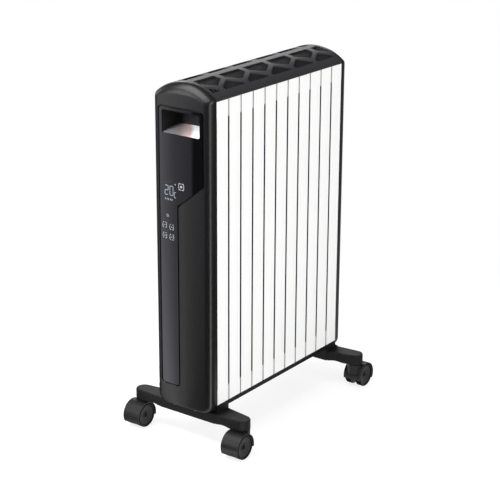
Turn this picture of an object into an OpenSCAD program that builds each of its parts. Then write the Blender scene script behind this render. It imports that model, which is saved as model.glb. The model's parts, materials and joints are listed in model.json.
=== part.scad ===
// Slim electric radiator on castors: twin-slat aluminium modules between two end covers.
// X is the width, Y the length (the control end faces -Y), Z is up from the floor.

/* [Slat panels] */
// Slats on each long side: one beside the electronics bay and two for each module
slat_count = 11; // [7:2:15]
// Distance from one slat to the next
slat_pitch = 36; // [33:1:42]
// Open gap between two slats
slat_gap = 3.2; // [2.6:0.2:4.4]
// Thickness of a slat
slat_thick = 2.2; // [1.8:0.2:3]
// Height of the slats
panel_h = 570; // [540:10:680]
// Height of the light closers at both ends of each slat gap
closer_h = 31; // [20:1:50]
// Width over the end covers
body_w = 128; // [122:1:140]

/* [Modules] */
// Thickness of the extruded webs and fins
web = 2; // [1.6:0.2:2.6]
// Outer diameter of the element tube in each module
tube_d = 24; // [22:1:28]
// Diameter of a heating element
element_d = 16; // [12:1:17]
// Diameter of the tie rods
rod_d = 6; // [5:0.5:7]

/* [End covers] */
// Depth of an end cover
end_depth = 21; // [20:1:27]
// Wall of the end covers
cover_wall = 3; // [2.6:0.2:3.6]
// Upright corner radius of the covers
corner_r = 14; // [12:1:16]
// Bulge of the end face across its width
crown = 2; // [1:0.5:3]
// How far the covers hang below the bottom tray
cover_drop = 5; // [4:1:6]
// Radius of the covers' two lower corners, seen from the end
foot_corner_r = 16; // [10:1:20]

/* [Top grille] */
// Radius of the arch across the top
arch_r = 100; // [92:2:130]
// Crest of the arch above the slats
arch_rise = 28; // [26:1:34]
// Radius where the arch meets the sides
shoulder_r = 8; // [6:1:10]
// Wall of the grille
grille_wall = 3; // [2:0.5:4]
// Width of the cross ribs and of the spine of the grille
rib_w = 13; // [10:1:16]
// Width of the zigzag ribs
zigzag_w = 5.5; // [4.5:0.5:7]
// Distance from one louvre bar to the next
louvre_pitch = 7.2; // [6:0.4:9]
// Thickness of a louvre bar
louvre_t = 2.4; // [1.6:0.2:3]

/* [Control fascia] */
// Width of the upper part of the fascia
fascia_w = 96; // [90:1:100]
// Width of the lower strip of the fascia
strip_w = 40; // [34:1:46]
// Height of the fascia
fascia_h = 524; // [500:2:530]
// Height of the upper part, down to the start of the slanted edge
fascia_top_h = 134; // [120:2:150]
// Height of the slanted edge
slant_h = 43; // [30:1:60]
// Distance from the slat tops down to the fascia's upper edge
fascia_drop = 18; // [16:1:26]
// How far the fascia lies below the cover's skin
fascia_sink = 0.6; // [0.4:0.1:1]
// Corner radius of the fascia
fascia_r = 6; // [4:0.5:8]

/* [Grip pockets] */
// Width of a pocket's mouth
grip_w = 84; // [72:2:86]
// Height of a pocket's mouth
grip_h = 42; // [34:1:46]
// Depth of the front pocket behind the end face
grip_depth = 44; // [34:1:46]
// How much the pocket floor rises for each mm of depth
grip_slope = 0.2; // [0.1:0.05:0.3]
// Wall of the pockets
grip_wall = 2; // [1.6:0.2:2.4]

/* [Feet] */
// Distance between the swivel axes of the two castors of a foot
track = 232; // [216:2:250]
// Distance of the swivel axes from the end of the slat stack
foot_setback = 7; // [5:1:12]
// Height of a foot's arms
arm_h = 21; // [18:1:24]
// Radius of the end of an arm
arm_end_r = 15.5; // [13:0.5:16]
// Length of an arm's root along the body
arm_root = 42; // [38:1:46]
// Height of the bottom tray
tray_h = 9; // [8:0.5:12]

/* [Castors] */
// Diameter of the wheels
wheel_d = 46; // [40:1:50]
// Width of a wheel
wheel_w = 12.4; // [10:0.2:14]
// Distance of the axle from the swivel axis
trail = 14.5; // [13:0.5:16]
// Wall of the hood over the wheels
hood_wall = 2.2; // [1.8:0.2:3]
// Height of the collar between hood and foot
collar_h = 0.8; // [0.6:0.2:4]
// Diameter of the collar
collar_d = 30; // [22:1:31]
// Diameter of the swivel stem
stem_d = 7; // [6:0.5:8]
// Diameter of the axle
axle_d = 5; // [4:0.5:6]

/* [Fits] */
// Radial clearance of a turning fit
run_clear = 0.05; // [0.02:0.01:0.08]
// Gap between pieces that are screwed or clipped together
seat_gap = 0.3; // [0.2:0.05:0.4]
// Radial clearance round screws, rods and the cord
pass_clear = 0.25; // [0.15:0.05:0.4]

/* [Hidden] */
$fn = 64;

white = "#f4f4f2";
black = "#2a2a2c";
gloss = "#3a3a40";
steel = "#b9bcc0";
board = "#2f6b4a";
eps = 0.01;

// Castor heights and widths
wheel_r = wheel_d / 2;
hood_in_r = wheel_r + 1;
hood_r = hood_in_r + hood_wall;
collar_z = wheel_r + hood_r + collar_h;
swivel_gap = 0.8;
hood_web = stem_d + 4;
wheel_x = hood_web / 2 + 0.5;
hood_w = 2 * (wheel_x + wheel_w) + 0.6;
castor_x = track / 2;

// Foot, saddle and tray heights
arm_z = collar_z + swivel_gap;
arm_top = arm_z + arm_h;
tray_z = arm_top + 4;
cover_z = tray_z - cover_drop;
bar_top = arm_top - 4;

// Panel, arch and stack
panel_z = tray_z + tray_h;
panel_top = panel_z + panel_h;
arch_z = panel_top + arch_rise - arch_r;
half_w = body_w / 2;
seam_y = slat_count * slat_pitch / 2;
bay_y = slat_pitch - seam_y;
module_count = (slat_count - 1) / 2;
module_l = 2 * slat_pitch;
slat_w = slat_pitch - slat_gap;
slat_out = half_w - seat_gap;
slat_in = slat_out - slat_thick;
closer_t = 2;
cross_x = half_w - 14;
foot_y = seam_y - foot_setback;

// Tie rods run between the fins
fin_x = [14, 26, 38];
rod_x = 32;
rod_zs = [panel_z + 40, panel_top - 90];
sheet_t = 1.5;
sheet_x = slat_in - closer_t - 2 * seat_gap;
nut_w = rod_d + 4;
nut_t = rod_d - 1;

// Fascia and pocket places
fascia_top = panel_top - fascia_drop;
fascia_foot = fascia_top - fascia_h;
slant_top = fascia_top - fascia_top_h;
slant_foot = slant_top - slant_h;
strip_x = strip_w - fascia_w / 2;
fascia_gap = 2;
fascia_back = cover_wall - seat_gap;
ledge_t = 1.6;
grip_top = fascia_top - 5;
grip_foot = grip_top - grip_h;
rear_grip_depth = end_depth - sheet_t - seat_gap - grip_wall;

// ---------------------------------------------------------------- plane shapes

function unit(v) = v / norm(v);
function turned(a, b) = let (d = unit(b - a)) [d[1], -d[0]];

// Outline p moved outwards by g
function grow(p, g) = let (n = len(p)) [for (i = [0:n - 1])
    let (a = turned(p[(i + n - 1) % n], p[i]), b = turned(p[i], p[(i + 1) % n]))
    p[i] + g * (a + b) / (1 + a * b)];

// Outline p with every corner rounded to radius r
function rounded(p, r, m = 5) = let (n = len(p)) [for (i = [0:n - 1])
    let (u = unit(p[(i + n - 1) % n] - p[i]), v = unit(p[(i + 1) % n] - p[i]),
         h = acos(u * v) / 2, c = p[i] + unit(u + v) * r / sin(h))
    for (k = [0:m])
        c + r * unit((p[i] + u * r / tan(h) - c) * (m - k) + (p[i] + v * r / tan(h) - c) * k)];

function box_points(x0, x1, z0, z1) = [[x0, z0], [x1, z0], [x1, z1], [x0, z1]];

function arc(cx, cz, r, a0, a1, n) =
    [for (i = [0:n]) let (a = a0 + (a1 - a0) * i / n) [cx + r * cos(a), cz + r * sin(a)]];

// Arched outline of the body, drawn in by its own amount at the sides, the top and the foot
function body_outline(side, top, foot) =
    let (hw = half_w - side, r = arch_r - top, s = min(shoulder_r, hw * 0.7),
         f = min(foot_corner_r, hw * 0.7), cx = hw - s,
         cz = arch_z + sqrt(pow(r - s, 2) - cx * cx), a = atan2(cz - arch_z, cx),
         zf = cover_z + foot + f, step = (180 - 2 * a) / 12)
    concat(arc(hw - f, zf, f, -90, 0, 5), arc(cx, cz, s, 0, a, 3),
           arc(0, arch_z, r, a + step, 180 - a - step, 10),
           arc(-cx, cz, s, 180 - a, 180, 3), arc(f - hw, zf, f, 180, 270, 5));

// Drawing upright shapes towards -Y, from y1 back to y0
module upright(y0, y1) {
    translate([0, y1, 0]) rotate([90, 0, 0]) linear_extrude(y1 - y0) children();
}

function round_in(r, d) = d <= 0 ? 0 : r - sqrt(max(0, r * r - d * d));

// Form of an end cover from the seam outwards; skin draws its whole surface in. Each slice has
// its depth and its inset at the sides and at the foot, with a moulding draft on both
module end_form(skin) {
    face = end_depth - skin - crown;
    r = corner_r - skin;
    flat = half_w - corner_r;
    slices = concat(
        [for (t = [0, 30, 54, 74, 90]) let (d = face - r + r * sin(t))
            [d, skin + r * (1 - cos(t)) + 0.03 * d, 0.03 * d]],
        [for (b = [0.5, 0.97]) [face + b * crown, half_w - flat * sqrt(1 - b), b < 0.9 ? 1.2 : 2.8]]);
    hull() {
        upright(-seam_y - 0.5, -seam_y + (skin > 0 ? 0.5 : 0)) polygon(body_outline(skin, skin, skin));
        for (c = slices) upright(-seam_y - c[0], eps - seam_y - c[0])
            polygon(body_outline(c[1], skin + round_in(end_depth - skin, c[0]), skin + c[2]));
    }
}

fascia_points = [[-fascia_w / 2, fascia_foot], [strip_x, fascia_foot], [strip_x, slant_foot],
    [fascia_w / 2, slant_top], [fascia_w / 2, fascia_top], [-fascia_w / 2, fascia_top]];
module fascia_shape(g) { polygon(rounded(grow(fascia_points, g), fascia_r + g)); }

// Prism from in front of the end face back to the bay
module through_face() { upright(-seam_y - end_depth - 1, -seam_y) children(); }

// Mouth of a grip pocket, at a depth behind the end face and with a wall round it
module grip_slice(depth, wall) {
    draft = 0.12 * depth;
    rise = grip_slope * depth;
    y = -seam_y - end_depth + depth;
    upright(y - eps, y) polygon(rounded(grow(box_points(draft - grip_w / 2, grip_w / 2 - draft,
        grip_foot + rise, grip_top), wall), 4 + wall));
}
module grip_form(depth, wall) {
    hull() {
        grip_slice(0, wall);
        grip_slice(depth, wall);
    }
}
module grip_pocket(depth) {
    difference() {
        grip_form(depth + grip_wall, grip_wall);
        grip_form(depth, 0);
        difference() {
            through_face() square([2 * body_w, 3 * panel_h], center = true);
            end_form(cover_wall);
        }
    }
}

// ---------------------------------------------------------------- front end

// Screws that hold a cover to the ears of the tray
cover_screw_x = 24;
cover_screw_y = seam_y + 12;
screw_d = 3.5;
ear_z = cover_z + cover_wall + 5;
module cover_screw_places() {
    for (x = [-cover_screw_x, cover_screw_x]) translate([x, -cover_screw_y, 0]) children();
}

// Control board, its posts and the switch pad
board_t = 1.6;
ctrl_y = -seam_y - end_depth + 11.5;
ctrl_x = half_w - 11;
ctrl_z0 = slant_foot - 72;
ctrl_z1 = slant_top + 20;
post_x = fascia_w / 2 + 3;
post_zs = [ctrl_z0 + 6, ctrl_z1 - 6];
pad_x = half_w - 4.6;
pad_y = -seam_y - 8;
pad_r = 7.2;
rocker_z = tray_z + 52;
gland_z = tray_z + 24;
rocker_w = 9;
rocker_h = 21;
gland_d = 11;
cord_d = 8;

// What stays solid inside the front cover
module front_bosses() {
    for (x = [-post_x, post_x], z = post_zs)
        translate([x, ctrl_y - seat_gap, z]) rotate([90, 0, 0]) cylinder(r = 2.6, h = end_depth);
    cover_screw_places() translate([0, 0, cover_z]) cylinder(r = 4, h = cover_wall + 4.6);
    translate([-half_w, pad_y - pad_r - 1.5, gland_z - pad_r - 3])
        cube([half_w - pad_x + 4.5, 2 * pad_r + 2.6, rocker_z - gland_z + 2 * pad_r + rocker_h / 2 + 6]);
}

module front_cover() {
    color(black) difference() {
        end_form(0);
        difference() {
            union() {
                difference() {
                    end_form(cover_wall);
                    through_face() fascia_shape(4);
                }
                end_form(cover_wall + ledge_t);
            }
            front_bosses();
        }
        difference() {
            through_face() fascia_shape(fascia_gap);
            end_form(cover_wall - 0.1);
        }
        upright(-seam_y - end_depth - 1, ctrl_y - 1) fascia_shape(-2.4);
        cover_screw_places() translate([0, 0, cover_z - 1])
            cylinder(r = screw_d / 2 + pass_clear, h = cover_wall + 8);
        translate([-half_w - 1, pad_y, 0]) rotate([90, 0, 90]) linear_extrude(half_w + 1 - pad_x) {
            translate([0, gland_z]) circle(pad_r);
            translate([-pad_r, gland_z]) square([2 * pad_r, rocker_z - gland_z + rocker_h / 2]);
            translate([0, rocker_z + rocker_h / 2]) circle(pad_r);
        }
        translate([-half_w - 1, pad_y - rocker_w / 2 - seat_gap, rocker_z - rocker_h / 2 - seat_gap])
            cube([14, rocker_w + 2 * seat_gap, rocker_h + 2 * seat_gap]);
        translate([-half_w - 1, pad_y, gland_z]) rotate([0, 90, 0])
            cylinder(d = gland_d + 2 * pass_clear, h = 14);
    }
}

module control_fascia() {
    color(gloss) difference() {
        intersection() {
            end_form(fascia_sink);
            through_face() fascia_shape(0);
        }
        end_form(fascia_back);
        grip_form(end_depth, 0);
        upright(-seam_y - end_depth - 2, -seam_y - end_depth + eps)
            polygon(rounded(box_points(-grip_w / 2, grip_w / 2, grip_foot, grip_top), 4));
    }
}

module front_grip_pocket() { color(gloss) grip_pocket(grip_depth); }

// Two-digit display with its frame, in front of the control board
display_w = 36;
display_h = 46;
display_x = -fascia_w / 2 + 6;
display_z = slant_top - 42;
display_y = ctrl_y - 5;
module display_module() {
    color("#101014") difference() {
        translate([display_x, display_y, display_z]) cube([display_w, 5, display_h]);
        for (i = [0, 1]) translate([display_x + 4 + i * 11, display_y - 1, display_z + 15])
            difference() {
                cube([9, 2, 20]);
                translate([1.8, -1, 1.8]) cube([5.4, 4, 7.2]);
                translate([1.8, -1, 11]) cube([5.4, 4, 7.2]);
            }
        for (i = [0:6]) translate([display_x + 4 + i * 3.2, display_y - 1, display_z + 5])
            cube([2, 2, 5]);
    }
}

key_xs = [display_x + 4, display_x + 20.5];
key_zs = [slant_foot - 38, slant_foot - 58];
module board_plate(x0, x1, z0, z1, y) {
    upright(y, y + board_t) polygon(rounded(box_points(x0, x1, z0, z1), 3));
}
module control_board() {
    color(board) difference() {
        board_plate(-ctrl_x, ctrl_x, ctrl_z0, ctrl_z1, ctrl_y);
        for (x = [-post_x, post_x], z = post_zs)
            translate([x, ctrl_y - 1, z]) rotate([-90, 0, 0]) cylinder(d = 2.4, h = 4);
    }
    color("#d8d8d2") for (x = key_xs, z = key_zs)
        translate([x, ctrl_y, z]) rotate([90, 0, 0]) cylinder(d = 9, h = 4);
    color("#202024") {
        translate([8, ctrl_y - 2.2, ctrl_z0 + 30]) cube([14, 2.2, 14]);
        translate([display_x + display_w + 6, ctrl_y - 4, display_z + 28]) cube([10, 4, 10]);
        translate([12, ctrl_y + board_t, ctrl_z0 + 8]) cube([24, 7, 6]);
    }
    color(steel) for (x = [-post_x, post_x], z = post_zs) translate([x, ctrl_y + board_t, z])
        rotate([-90, 0, 0]) cylinder(d = 5, h = 1.8);
}

// ---------------------------------------------------------------- electronics bay

sheet_y = bay_y - sheet_t;
power_y = sheet_y - 8;
power_rise = 90;
power_h = 150;
power_z0 = panel_z + power_rise;
power_z1 = power_z0 + power_h;
power_x = cross_x - 6;
module power_board() {
    color(board) board_plate(-power_x, power_x, power_z0, power_z1, power_y - board_t);
    color(steel) for (x = [8 - power_x, power_x - 8], z = [power_z0 + 8, power_z1 - 8])
        translate([x, power_y, z]) rotate([-90, 0, 0]) cylinder(d = 6, h = sheet_y - power_y - eps);
    color("#8f9498") translate([-power_x + 6, power_y - board_t - 16, power_z1 - 52]) difference() {
        cube([22, 16, 36]);
        for (i = [0:3]) translate([3 + i * 5, -1, -1]) cube([2.4, 12, 38]);
    }
    color("#c9a13a") translate([8, power_y - board_t - 14, power_z1 - 40]) cube([26, 14, 12]);
    color("#26262a") for (i = [0, 1]) translate([12 + i * 14, power_y - board_t, power_z1 - 60])
        rotate([90, 0, 0]) cylinder(d = 10, h = 16);
}

relay_z = power_z0 + 14;
module power_relays() {
    color("#2b3f63") for (x = [-32, 6]) translate([x, power_y - board_t - 16 - eps, relay_z])
        cube([26, 16, 20]);
    color("#2b3f63") translate([-13, power_y - board_t - 16 - eps, relay_z + 34]) cube([26, 16, 20]);
}

term_z = panel_z + 46;
module terminal_block() {
    color("#dcd6c4") difference() {
        translate([-44, sheet_y - 17, term_z]) cube([50, 17 - eps, 22]);
        for (i = [0:4]) translate([-39 + i * 10, sheet_y - 18, term_z + 11]) rotate([-90, 0, 0])
            cylinder(d = 5.4, h = 8);
        for (i = [1:4]) translate([-44.75 + i * 10, sheet_y - 18, term_z - 1]) cube([1.5, 6, 24]);
    }
    color(steel) for (i = [0:4]) translate([-39 + i * 10, sheet_y - 12, term_z + 11])
        rotate([-90, 0, 0]) cylinder(d = 5, h = 4);
}

module tip_over_switch() {
    color("#26262a") translate([9, sheet_y - 14, term_z]) cube([15, 14 - eps, 22]);
    color("#26262a") translate([16.5, sheet_y - 7, term_z - 7]) cylinder(d = 9, h = 7 + eps);
    color(steel) translate([16.5, sheet_y - 7, term_z - 8]) sphere(d = 7);
}

module room_sensor() {
    color("#3c3c40") translate([44, -seam_y + 4, tray_z + 3]) cylinder(d = 7, h = 6);
    color("#1c1c1e") translate([44, -seam_y + 4, tray_z + 9 - eps]) cylinder(d = 3.4, h = 10);
    color("#1c1c1e") translate([44, -seam_y + 4, tray_z + 19]) sphere(d = 5);
}

module rocker_housing() {
    color("#17171a") translate([-pad_x, pad_y, rocker_z]) difference() {
        union() {
            translate([-1.4, -rocker_w / 2 - 1.6, -rocker_h / 2 - 2])
                cube([1.4 - 0.05, rocker_w + 3.2, rocker_h + 4]);
            translate([-1, -rocker_w / 2, -rocker_h / 2]) cube([17, rocker_w, rocker_h]);
        }
        translate([-4, -rocker_w / 2 + 1.2, -rocker_h / 2 + 1.2]) cube([11, rocker_w - 2.4, rocker_h - 2.4]);
        translate([pivot_in, -rocker_w, 0]) rotate([-90, 0, 0])
            cylinder(d = pivot_d + 2 * run_clear, h = 2 * rocker_w);
    }
    color(steel) for (z = [-6, 0, 6]) translate([-pad_x + 16 - eps, pad_y - 2, rocker_z + z - 0.5])
        cube([6, 4, 1]);
}

pivot_d = 2.6;
pivot_in = 2;
rocker_tilt = 8;
rocker_body = rocker_w - 3.2;
module mains_rocker() {
    end_z = rocker_h / 2 - 1.9;
    color("#17171a") translate([pivot_in - pad_x, pad_y, rocker_z]) rotate([90, rocker_tilt, 0]) {
        translate([0, 0, -rocker_body / 2]) linear_extrude(rocker_body)
            polygon([[3.6, -2.5], [3.6, 2.5], [-1, end_z], [-4.2, end_z - 0.4],
                     [-2.8, 0], [-4.2, 0.4 - end_z], [-1, -end_z]]);
        translate([0, 0, 0.4 - rocker_w / 2]) cylinder(d = pivot_d, h = rocker_w - 0.8);
    }
}

module cord_gland() {
    color("#17171a") translate([-pad_x, pad_y, gland_z]) rotate([0, 90, 0]) difference() {
        union() {
            translate([0, 0, -1.5]) cylinder(d = gland_d + 2.4, h = 1.45);
            translate([0, 0, -0.1]) cylinder(d = gland_d, h = 9);
            translate([0, 0, 6]) cylinder(d = gland_d + 2.4, h = 2.4, $fn = 6);
        }
        translate([0, 0, -2]) cylinder(d = cord_d + 2 * pass_clear, h = 14);
    }
}

// Slat beside the bay, with a flange that is screwed to the bulkhead
module bay_panel(side) {
    color(white) mirror([side < 0 ? 1 : 0, 0, 0]) {
        translate([slat_in, -seam_y + slat_gap / 2, panel_z]) cube([slat_thick, slat_w, panel_h]);
        translate([slat_in - 9, sheet_y - 2 - eps, panel_z + closer_h + 2])
            cube([9 + eps, 2, panel_h - 2 * closer_h - 4]);
        translate([slat_in - 9, -seam_y + 3, panel_z + closer_h + 2])
            cube([9 + eps, 1.5, panel_h - 2 * closer_h - 4]);
    }
}
module bay_panel_left() { bay_panel(-1); }
module bay_panel_right() { bay_panel(1); }

module rod_places() { for (x = [-rod_x, rod_x], z = rod_zs) translate([x, 0, z]) children(); }
module rod_holes(y0, y1) {
    rod_places() translate([0, y0, 0]) rotate([-90, 0, 0])
        cylinder(r = rod_d / 2 + pass_clear, h = y1 - y0);
}

module bulkhead_sheet(y) {
    difference() {
        translate([-sheet_x, y, panel_z]) cube([2 * sheet_x, sheet_t, panel_h]);
        rod_holes(y - 1, y + sheet_t + 1);
        translate([0, y - 1, panel_z]) rotate([-90, 0, 0]) cylinder(r = 12, h = sheet_t + 2);
        for (i = [0:5]) translate([-22, y - 1, panel_z + 330 + i * 12]) cube([44, sheet_t + 2, 5]);
    }
}
module front_bulkhead() { color(steel) bulkhead_sheet(sheet_y); }
module rear_bulkhead() { color(steel) bulkhead_sheet(seam_y); }

cut_y = sheet_y - 7;
cut_x = 34;
cut_drop = 170;
cut_pitch = 60;
module thermal_cutouts() {
    for (k = [0, 1]) translate([cut_x, sheet_y, panel_top - cut_drop + k * cut_pitch]) rotate([90, 0, 0]) {
        color(steel) cylinder(d = 15, h = 3);
        color("#5a3a24") translate([0, 0, 3 - eps]) cylinder(d = 13, h = 6);
        color(steel) for (s = [-1, 1]) translate([s * 4 - 0.5, -2.5, 9 - 2 * eps]) cube([1, 5, 6]);
    }
}

// ---------------------------------------------------------------- heating modules

module module_profile() {
    c = module_l / 2;
    for (s = [-1, 1]) {
        for (k = [0, 1]) translate([s > 0 ? slat_in : -slat_out, k * slat_pitch + slat_gap / 2])
            square([slat_thick, slat_w]);
        for (k = [0.5, 1.5]) translate([s > 0 ? cross_x : -slat_in - eps, k * slat_pitch - web / 2])
            square([slat_in - cross_x + eps, web]);
        translate([s > 0 ? cross_x - web : -cross_x, 1.4]) square([web, module_l - 2.8]);
        for (x = fin_x) translate([s * x - web / 2, 2.4]) square([web, module_l - 4.8]);
    }
    translate([-cross_x, c - web / 2]) square([2 * cross_x, web]);
    translate([0, c]) circle(d = tube_d);
}

element_r = element_d / 2;
module heating_module(k) {
    y0 = bay_y + (k - 1) * module_l;
    color(white) difference() {
        translate([0, y0, panel_z]) linear_extrude(panel_h) module_profile();
        translate([0, y0 + module_l / 2, panel_z - 1])
            cylinder(r = element_r + seat_gap, h = panel_h + 2);
        rod_holes(y0, y0 + module_l);
        for (s = [-1, 1], z = [panel_z - 1, panel_top - closer_h - 1])
            translate([s > 0 ? slat_in - closer_t - 2 * seat_gap : -slat_in - eps, y0, z])
                cube([closer_t + 2 * seat_gap + eps, module_l, closer_h + 2]);
    }
}
module module_1() { heating_module(1); }
module module_2() { heating_module(2); }
module module_3() { heating_module(3); }
module module_4() { heating_module(4); }
module module_5() { heating_module(5); }

element_y = [for (k = [0:module_count - 1]) bay_y + (k + 0.5) * module_l];
pin_z = panel_z - 2;
module heating_elements() {
    for (y = element_y) translate([0, y, 0]) {
        color(steel) translate([0, 0, panel_z + 8]) cylinder(r = element_r, h = panel_h - 20);
        color("#e8e2d6") translate([0, 0, panel_z + 3]) cylinder(d = element_d - 4, h = 5 + eps);
        color(steel) for (x = [-3.5, 3.5]) translate([x, 0, pin_z]) cylinder(d = 2.4, h = 5 + eps);
    }
}

rod_y0 = sheet_y - nut_t - 4;
rod_y1 = seam_y + sheet_t + nut_t + 4;
module tie_rods() {
    color(steel) rod_places() translate([0, rod_y0, 0]) rotate([-90, 0, 0])
        cylinder(d = rod_d, h = rod_y1 - rod_y0);
}
module tie_rod_nuts() {
    color(steel) rod_places() for (y = [sheet_y - nut_t, seam_y + sheet_t]) translate([0, y, 0])
        rotate([-90, 0, 0]) difference() {
            cylinder(d = nut_w / cos(30), h = nut_t, $fn = 6);
            translate([0, 0, -1]) cylinder(r = rod_d / 2 + run_clear, h = nut_t + 2);
        }
}

// Light strips behind the slats with a tongue in every gap
module slat_gap_closers() {
    x1 = slat_in - seat_gap;
    color("#d9dadb") for (s = [0, 1], z = [panel_z, panel_top - closer_h]) mirror([s, 0, 0]) {
        translate([x1 - closer_t, 0.8 - seam_y, z]) cube([closer_t, 2 * seam_y - 1.6, closer_h]);
        for (i = [1:slat_count - 1])
            translate([x1 - eps, i * slat_pitch - seam_y - slat_gap / 2 + seat_gap, z])
                cube([slat_out - 1 - x1, slat_gap - 2 * seat_gap, closer_h]);
    }
}

// Flat leads under the modules with a riser to each element pin, and the leads in the bay
wire_z = tray_z + 5.4;
lead = 2.2;
module wiring_harness() {
    y0 = sheet_y - 8 - lead / 2;
    color("#b0522e") for (x = [-3.5, 3.5]) {
        translate([x - lead / 2, y0, wire_z - lead / 2])
            cube([lead, element_y[module_count - 1] + lead / 2 - y0, lead]);
        for (y = element_y) translate([x, y, wire_z]) cylinder(d = 1.8, h = pin_z - 0.1 - wire_z);
        translate([x - lead / 2, y0, wire_z]) cube([lead, lead, term_z - seat_gap - wire_z]);
    }
    color("#b0522e") {
        for (x = [-29, -9]) translate([x, power_y - board_t / 2, term_z + 22 + seat_gap])
            cylinder(d = board_t, h = power_z0 - term_z - 22 - 2 * seat_gap);
        for (x = [-42, -39]) translate([x, pad_y + 2 + seat_gap, rocker_z + 6]) rotate([-90, 0, 0])
            cylinder(d = 1.8, h = sheet_y - 17 - 2 * seat_gap - pad_y - 2);
    }
    y1 = power_y - board_t / 2;
    y2 = ctrl_y + board_t + seat_gap;
    color("#9a9ca0") {
        translate([16, y1 - 0.5, power_z1 + seat_gap]) cube([16, 1, ctrl_z0 + 20 - power_z1 - seat_gap]);
        translate([16, y2, ctrl_z0 + 19]) cube([16, y1 - y2, 1]);
    }
}

// ---------------------------------------------------------------- tray, covers and grille

rail_w = 9;
floor_t = 2.5;
module bottom_tray() {
    len_y = 2 * (seam_y - seat_gap);
    color(black) difference() {
        union() {
            translate([-slat_out, -len_y / 2, tray_z]) cube([2 * slat_out, len_y, tray_h - seat_gap]);
            for (s = [-1, 1], x = [-cover_screw_x, cover_screw_x])
                translate([x - 5, s > 0 ? len_y / 2 - 1 : -cover_screw_y - 4, ear_z])
                    cube([10, cover_screw_y + 5 - len_y / 2, panel_z - seat_gap - ear_z]);
        }
        translate([rail_w - slat_out, rail_w - seam_y, tray_z + floor_t])
            cube([2 * (slat_out - rail_w), 2 * (seam_y - rail_w), tray_h]);
        translate([-5.5, -seam_y - 1, wire_z - 1.4]) cube([11, 2 * seam_y + 2, tray_h]);
        for (s = [-1, 1]) translate([s > 0 ? slat_out - 0.8 : -slat_out - 1, -seam_y - 1, tray_z + 4])
            cube([1.8, 2 * seam_y + 2, 1.6]);
        for (y = element_y, x = [-1, 1], i = [-2:2])
            translate([x * 22 - 12, y + i * 12 - 3, tray_z - 1]) cube([24, 6, floor_t + 2]);
        for (s = [-1, 1], x = [-cover_screw_x, cover_screw_x])
            translate([x, s * cover_screw_y, ear_z - 1]) cylinder(r = screw_d / 2, h = tray_h);
        for (s = [-1, 1]) foot_screw_places(s) translate([0, 0, tray_z - 1])
            cylinder(r = screw_d / 2, h = floor_t + 2);
        translate([44, -seam_y + 4, tray_z - 1]) cylinder(r = 3.5 + seat_gap, h = tray_h + 2);
    }
}

// Outline of the arch above z0, inset evenly
module arch_shape(inset, z0) {
    cx = half_w - shoulder_r;
    cz = arch_z + sqrt(pow(arch_r - shoulder_r, 2) - cx * cx);
    reach = 2 * arch_r / (arch_r - shoulder_r);
    wedge = arch_z + (cz - arch_z) * reach;
    intersection() {
        translate([-half_w, z0]) square([body_w, 2 * arch_r]);
        union() {
            for (s = [-1, 1]) translate([s * cx, cz]) circle(shoulder_r - inset);
            translate([inset - half_w, z0]) square([2 * (half_w - inset), cz - z0]);
            intersection() {
                translate([0, arch_z]) circle(arch_r - inset);
                polygon([[0, arch_z], [cx * reach, wedge], [-cx * reach, wedge]]);
            }
        }
    }
}

// Junctions of the cross ribs, and the grille openings round one junction
junction_y = [for (k = [1:module_count]) k * module_l - seam_y];
grille_top = panel_top + arch_rise;
wall_x = 25;
peak_x = 40;
edge_x = 52;
module house_opening() {
    b = rib_w / 2;
    m = module_l / 2;
    polygon([[b + 1.5, b], [wall_x, b], [peak_x, m], [wall_x, module_l - b], [b + 1.5, module_l - b]]);
}
module shoulder_opening() {
    m = module_l / 2;
    b = rib_w / 2;
    g = zigzag_w;
    polygon([[wall_x + g + 1, -1], [wall_x + g + 1, 1], [peak_x + g, m - b - 0.5], [edge_x, m - b - 0.5],
             [edge_x, b + 0.5 - m], [peak_x + g, b + 0.5 - m]]);
}
module top_grille() {
    color("#5c5c5e") difference() {
        upright(-seam_y + seat_gap, seam_y - seat_gap) difference() {
            arch_shape(0, panel_top + seat_gap);
            arch_shape(grille_wall, panel_top);
        }
        intersection() {
            translate([-half_w, 5 - seam_y, panel_top]) cube([body_w, 2 * seam_y - 10, 2 * arch_r]);
            for (s = [0, 1]) mirror([s, 0, 0]) translate([0, 0, panel_top]) linear_extrude(2 * arch_r) {
                for (y = concat([-seam_y], junction_y)) translate([0, y]) {
                    house_opening();
                    shoulder_opening();
                }
            }
        }
    }
}

module louvre_insert() {
    color("#6a6a6c") difference() {
        upright(-seam_y + 2, seam_y - 2) difference() {
            intersection() {
                arch_shape(grille_wall + seat_gap, panel_top + 1);
                translate([-edge_x - 4, panel_top]) square([2 * edge_x + 8, 2 * arch_r]);
            }
            arch_shape(grille_wall + seat_gap + 4.5, panel_top);
        }
        for (y = [6 - seam_y:louvre_pitch:seam_y - 6 - louvre_pitch], s = [0, 1]) mirror([s, 0, 0])
            translate([3, y, panel_top - 1]) cube([edge_x - 3, louvre_pitch - louvre_t, 2 * arch_r]);
    }
}

module rear_cover() {
    color(black) mirror([0, 1, 0]) difference() {
        end_form(0);
        difference() {
            end_form(cover_wall);
            cover_screw_places() translate([0, 0, cover_z]) cylinder(r = 4, h = cover_wall + 4.6);
        }
        through_face()
            polygon(rounded(box_points(-grip_w / 2, grip_w / 2, grip_foot, grip_top), 4));
        cover_screw_places() translate([0, 0, cover_z - 1])
            cylinder(r = screw_d / 2 + pass_clear, h = cover_wall + 8);
    }
}
module rear_grip_pocket() { color(gloss) mirror([0, 1, 0]) grip_pocket(rear_grip_depth); }

module cover_screws() {
    color(steel) for (s = [0, 1]) mirror([0, s, 0]) cover_screw_places() {
        translate([0, 0, cover_z - 1.6]) cylinder(d = 6.4, h = 1.6);
        translate([0, 0, cover_z - eps]) cylinder(d = screw_d - 0.1, h = panel_z - seat_gap - cover_z);
    }
}

// ---------------------------------------------------------------- feet

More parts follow.
